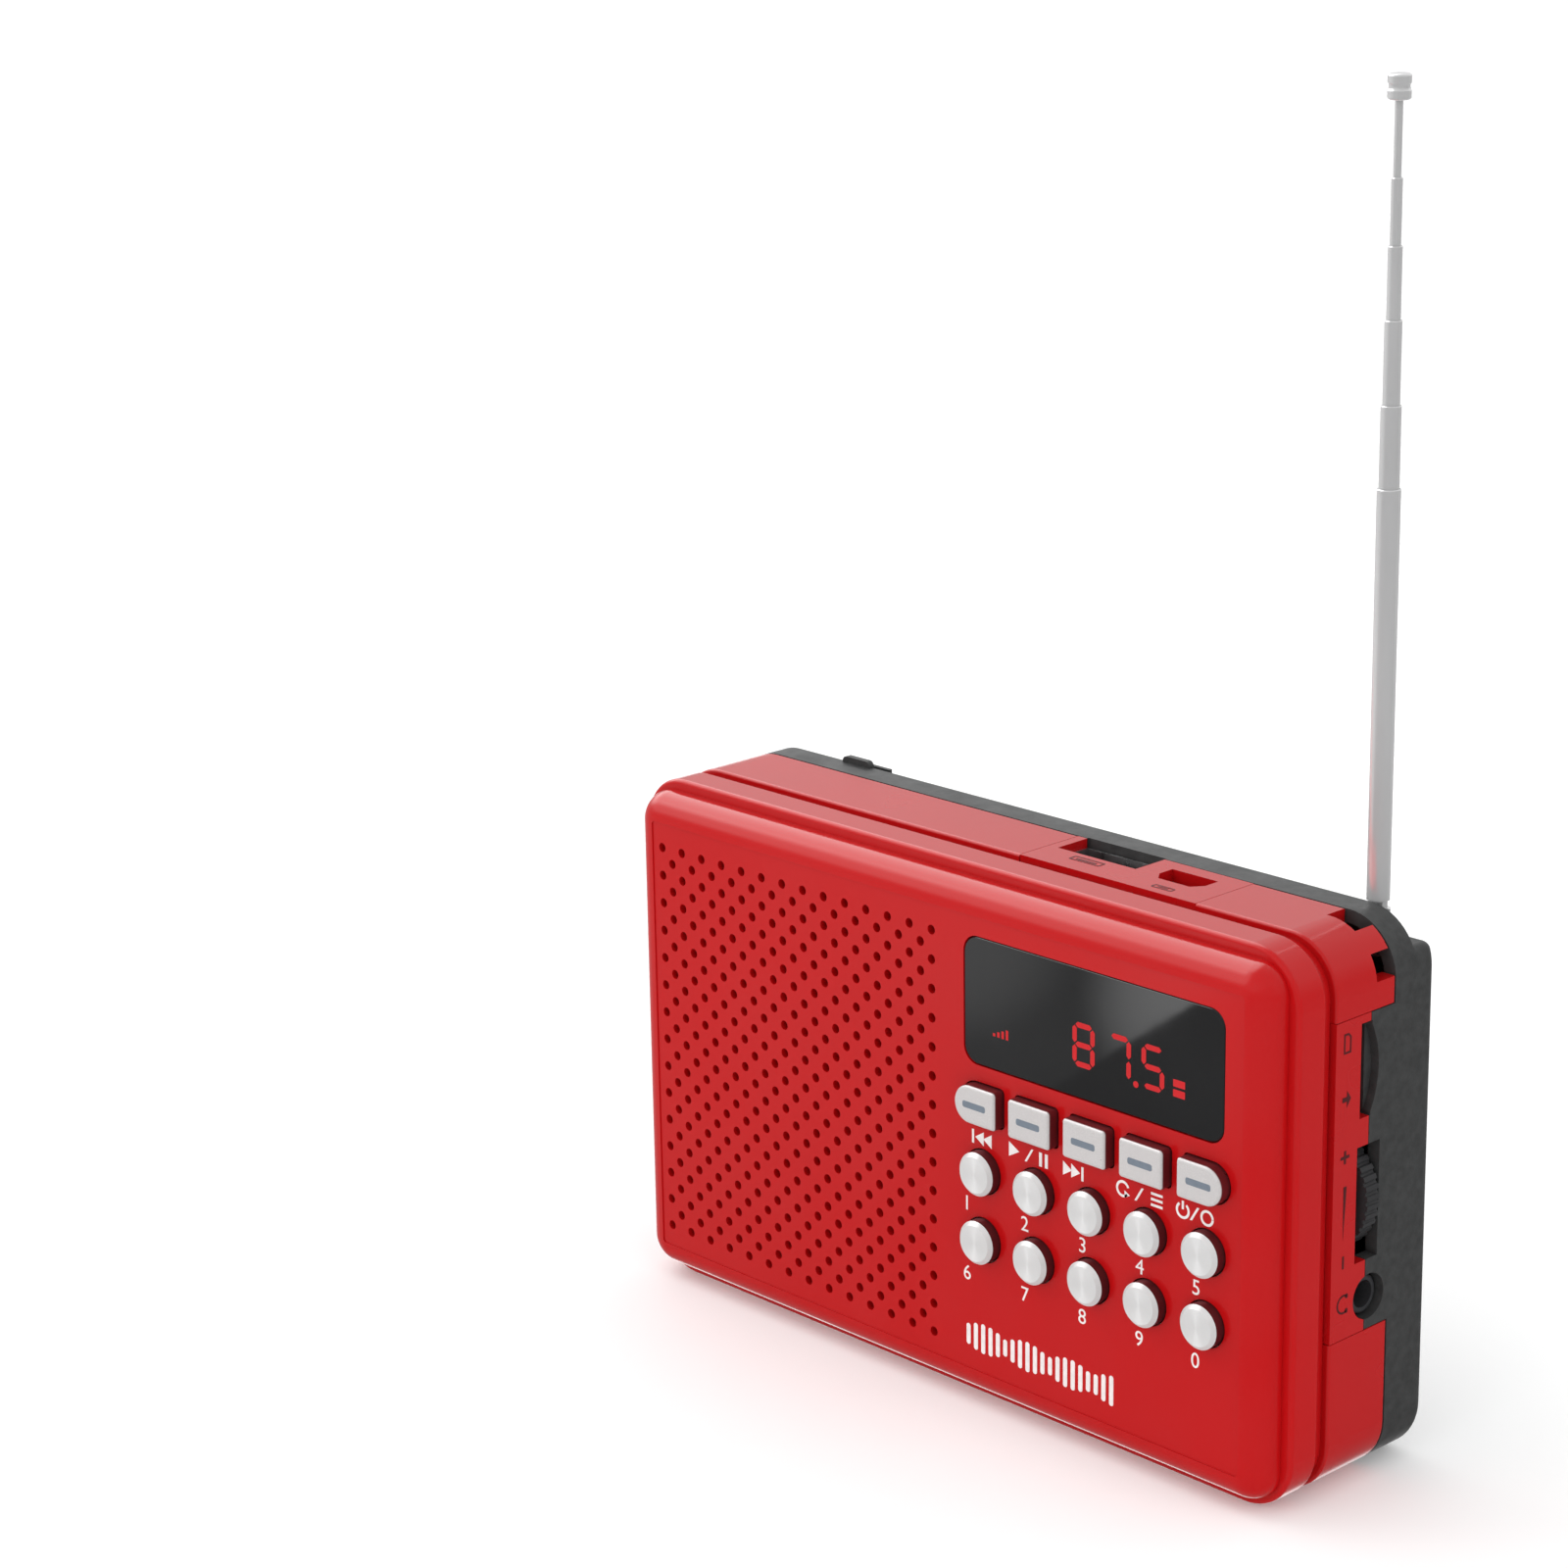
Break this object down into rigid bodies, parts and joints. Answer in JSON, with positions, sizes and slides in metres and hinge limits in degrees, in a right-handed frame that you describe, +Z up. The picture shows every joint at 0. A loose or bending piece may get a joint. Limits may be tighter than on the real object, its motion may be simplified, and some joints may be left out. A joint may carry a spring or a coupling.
{
  "type": "tabletop radio",
  "caption": "Compact portable radio with perforated speaker front, display, keypad, side and top sockets, thumb wheel and folding telescopic antenna.",
  "frame": {"origin": "middle of the flat underside of the case, where it rests", "axes": "+X to the user's right, -Y out of the front face with the grille and keys, +Z up along the upright antenna"},
  "size_m": [0.1177, 0.0318, 0.1741],
  "materials": {
    "red_gloss": "high gloss moulded red with a faint flow texture",
    "red_frame": "semi-gloss moulded red",
    "red_plate": "semi-gloss moulded red with engraved darker marks",
    "dark_shell": "fine spark-eroded dark grey",
    "dark_door": "fine spark-eroded dark grey",
    "black_acrylic": "polished smoked acrylic",
    "silver_plastic": "satin silver paint with a recessed bar",
    "spun_metal": "spun cap with radial sheen",
    "grey_rubber": "matt silicone",
    "black_rubber": "matt foam rubber",
    "black_paper": "pressed paper fibre",
    "black_cloth": "fine woven dust cloth",
    "ferrite": "dull sintered ferrite and plated steel",
    "steel": "bright plated sheet steel",
    "screw_steel": "zinc plated",
    "circuit_board": "solder mask over fibreglass",
    "chip_black": "moulded epoxy packages and cans",
    "black_plastic": "matt moulded black",
    "grey_plastic": "moulded dark grey",
    "wheel_black": "knurled moulded black",
    "battery_wrap": "printed film wrap",
    "brass": "spring brass strip",
    "chrome": "polished chrome plate",
    "lead_cover": "soft insulation"
  },
  "bodies": {
    "case": {"front_cover": "red_gloss", "display_window": "black_acrylic", "display_module": "black_plastic", "grille_cloth": "black_cloth", "key_mat": "grey_rubber", "speaker_basket": "steel", "speaker_surround": "black_rubber", "speaker_cone": "black_paper", "speaker_dust_cap": "black_paper", "speaker_magnet": "ferrite", "speaker_screws": "screw_steel", "key_board": "circuit_board", "board_header": "black_plastic", "main_board": "circuit_board", "board_screws": "screw_steel", "board_components": "chip_black", "usb_socket": "steel", "usb_tongue": "black_plastic", "mini_usb_socket": "steel", "card_socket": "steel", "headphone_socket": "grey_plastic", "volume_pot": "black_plastic", "mid_frame": "red_frame", "top_port_plate": "red_plate", "side_port_plate": "red_plate", "back_shell": "dark_shell", "battery": "battery_wrap", "battery_contacts": "brass", "contact_block": "black_plastic", "antenna_contact": "brass", "case_screws": "screw_steel", "internal_leads": "lead_cover"},
    "volume_wheel": {"volume_wheel": "wheel_black", "volume_shaft": "steel", "volume_screw": "screw_steel"},
    "battery_door": {"battery_door": "dark_door"},
    "antenna_swivel": {"antenna_knuckle": "chrome", "antenna_rivets": "chrome"},
    "antenna_fold": {"antenna_base_tube": "chrome"},
    "key_previous": {"key_previous": "silver_plastic"},
    "key_play": {"key_play": "silver_plastic"},
    "key_next": {"key_next": "silver_plastic"},
    "key_mode": {"key_mode": "silver_plastic"},
    "key_power": {"key_power": "silver_plastic"},
    "key_0": {"key_0": "spun_metal"},
    "key_1": {"key_1": "spun_metal"},
    "key_2": {"key_2": "spun_metal"},
    "key_3": {"key_3": "spun_metal"},
    "key_4": {"key_4": "spun_metal"},
    "key_5": {"key_5": "spun_metal"},
    "key_6": {"key_6": "spun_metal"},
    "key_7": {"key_7": "spun_metal"},
    "key_8": {"key_8": "spun_metal"},
    "key_9": {"key_9": "spun_metal"},
    "antenna_stage_2": {"antenna_stage_2": "chrome"},
    "antenna_stage_3": {"antenna_stage_3": "chrome"},
    "antenna_stage_4": {"antenna_stage_4": "chrome"},
    "antenna_stage_5": {"antenna_stage_5": "chrome"},
    "antenna_stage_6": {"antenna_stage_6": "chrome", "antenna_tip": "chrome"}
  },
  "joints": [
    {"name": "key_previous_press", "type": "slide", "parent": "case", "child": "key_previous", "axis": [0, 1, 0], "range_m": [0, 0.0005], "stiffness_N_per_m": 800},
    {"name": "key_play_press", "type": "slide", "parent": "case", "child": "key_play", "axis": [0, 1, 0], "range_m": [0, 0.0005], "stiffness_N_per_m": 800},
    {"name": "key_next_press", "type": "slide", "parent": "case", "child": "key_next", "axis": [0, 1, 0], "range_m": [0, 0.0005], "stiffness_N_per_m": 800},
    {"name": "key_mode_press", "type": "slide", "parent": "case", "child": "key_mode", "axis": [0, 1, 0], "range_m": [0, 0.0005], "stiffness_N_per_m": 800},
    {"name": "key_power_press", "type": "slide", "parent": "case", "child": "key_power", "axis": [0, 1, 0], "range_m": [0, 0.0005], "stiffness_N_per_m": 800},
    {"name": "key_1_press", "type": "slide", "parent": "case", "child": "key_1", "axis": [0, 1, 0], "range_m": [0, 0.0005], "stiffness_N_per_m": 800},
    {"name": "key_2_press", "type": "slide", "parent": "case", "child": "key_2", "axis": [0, 1, 0], "range_m": [0, 0.0005], "stiffness_N_per_m": 800},
    {"name": "key_3_press", "type": "slide", "parent": "case", "child": "key_3", "axis": [0, 1, 0], "range_m": [0, 0.0005], "stiffness_N_per_m": 800},
    {"name": "key_4_press", "type": "slide", "parent": "case", "child": "key_4", "axis": [0, 1, 0], "range_m": [0, 0.0005], "stiffness_N_per_m": 800},
    {"name": "key_5_press", "type": "slide", "parent": "case", "child": "key_5", "axis": [0, 1, 0], "range_m": [0, 0.0005], "stiffness_N_per_m": 800},
    {"name": "key_6_press", "type": "slide", "parent": "case", "child": "key_6", "axis": [0, 1, 0], "range_m": [0, 0.0005], "stiffness_N_per_m": 800},
    {"name": "key_7_press", "type": "slide", "parent": "case", "child": "key_7", "axis": [0, 1, 0], "range_m": [0, 0.0005], "stiffness_N_per_m": 800},
    {"name": "key_8_press", "type": "slide", "parent": "case", "child": "key_8", "axis": [0, 1, 0], "range_m": [0, 0.0005], "stiffness_N_per_m": 800},
    {"name": "key_9_press", "type": "slide", "parent": "case", "child": "key_9", "axis": [0, 1, 0], "range_m": [0, 0.0005], "stiffness_N_per_m": 800},
    {"name": "key_0_press", "type": "slide", "parent": "case", "child": "key_0", "axis": [0, 1, 0], "range_m": [0, 0.0005], "stiffness_N_per_m": 800},
    {"name": "volume_turn", "type": "hinge", "parent": "case", "child": "volume_wheel", "pos_m": [0.0512, 0.0016, 0.03835], "axis": [0, 1, 0], "range_deg": [-140, 140]},
    {"name": "battery_door_slide", "type": "slide", "parent": "case", "child": "battery_door", "axis": [-1, 0, 0], "range_m": [0, 0.058]},
    {"name": "antenna_swivel_turn", "type": "hinge", "parent": "case", "child": "antenna_swivel", "pos_m": [0.0508, 0.0129, 0.0709], "axis": [0, 0, 1], "range_deg": [-180, 180]},
    {"name": "antenna_fold_hinge", "type": "hinge", "parent": "antenna_swivel", "child": "antenna_fold", "pos_m": [0.0508, 0.0129, 0.0709], "axis": [0, 1, 0], "range_deg": [-90, 90]},
    {"name": "antenna_stage_2_slide", "type": "slide", "parent": "antenna_fold", "child": "antenna_stage_2", "axis": [0, 0, 1], "range_m": [-0.0101, 0.0319]},
    {"name": "antenna_stage_3_slide", "type": "slide", "parent": "antenna_stage_2", "child": "antenna_stage_3", "axis": [0, 0, 1], "range_m": [-0.0102, 0.0318]},
    {"name": "antenna_stage_4_slide", "type": "slide", "parent": "antenna_stage_3", "child": "antenna_stage_4", "axis": [0, 0, 1], "range_m": [-0.0088, 0.0332]},
    {"name": "antenna_stage_5_slide", "type": "slide", "parent": "antenna_stage_4", "child": "antenna_stage_5", "axis": [0, 0, 1], "range_m": [-0.008, 0.034]},
    {"name": "antenna_stage_6_slide", "type": "slide", "parent": "antenna_stage_5", "child": "antenna_stage_6", "axis": [0, 0, 1], "range_m": [-0.0088, 0.0332]}
  ]
}
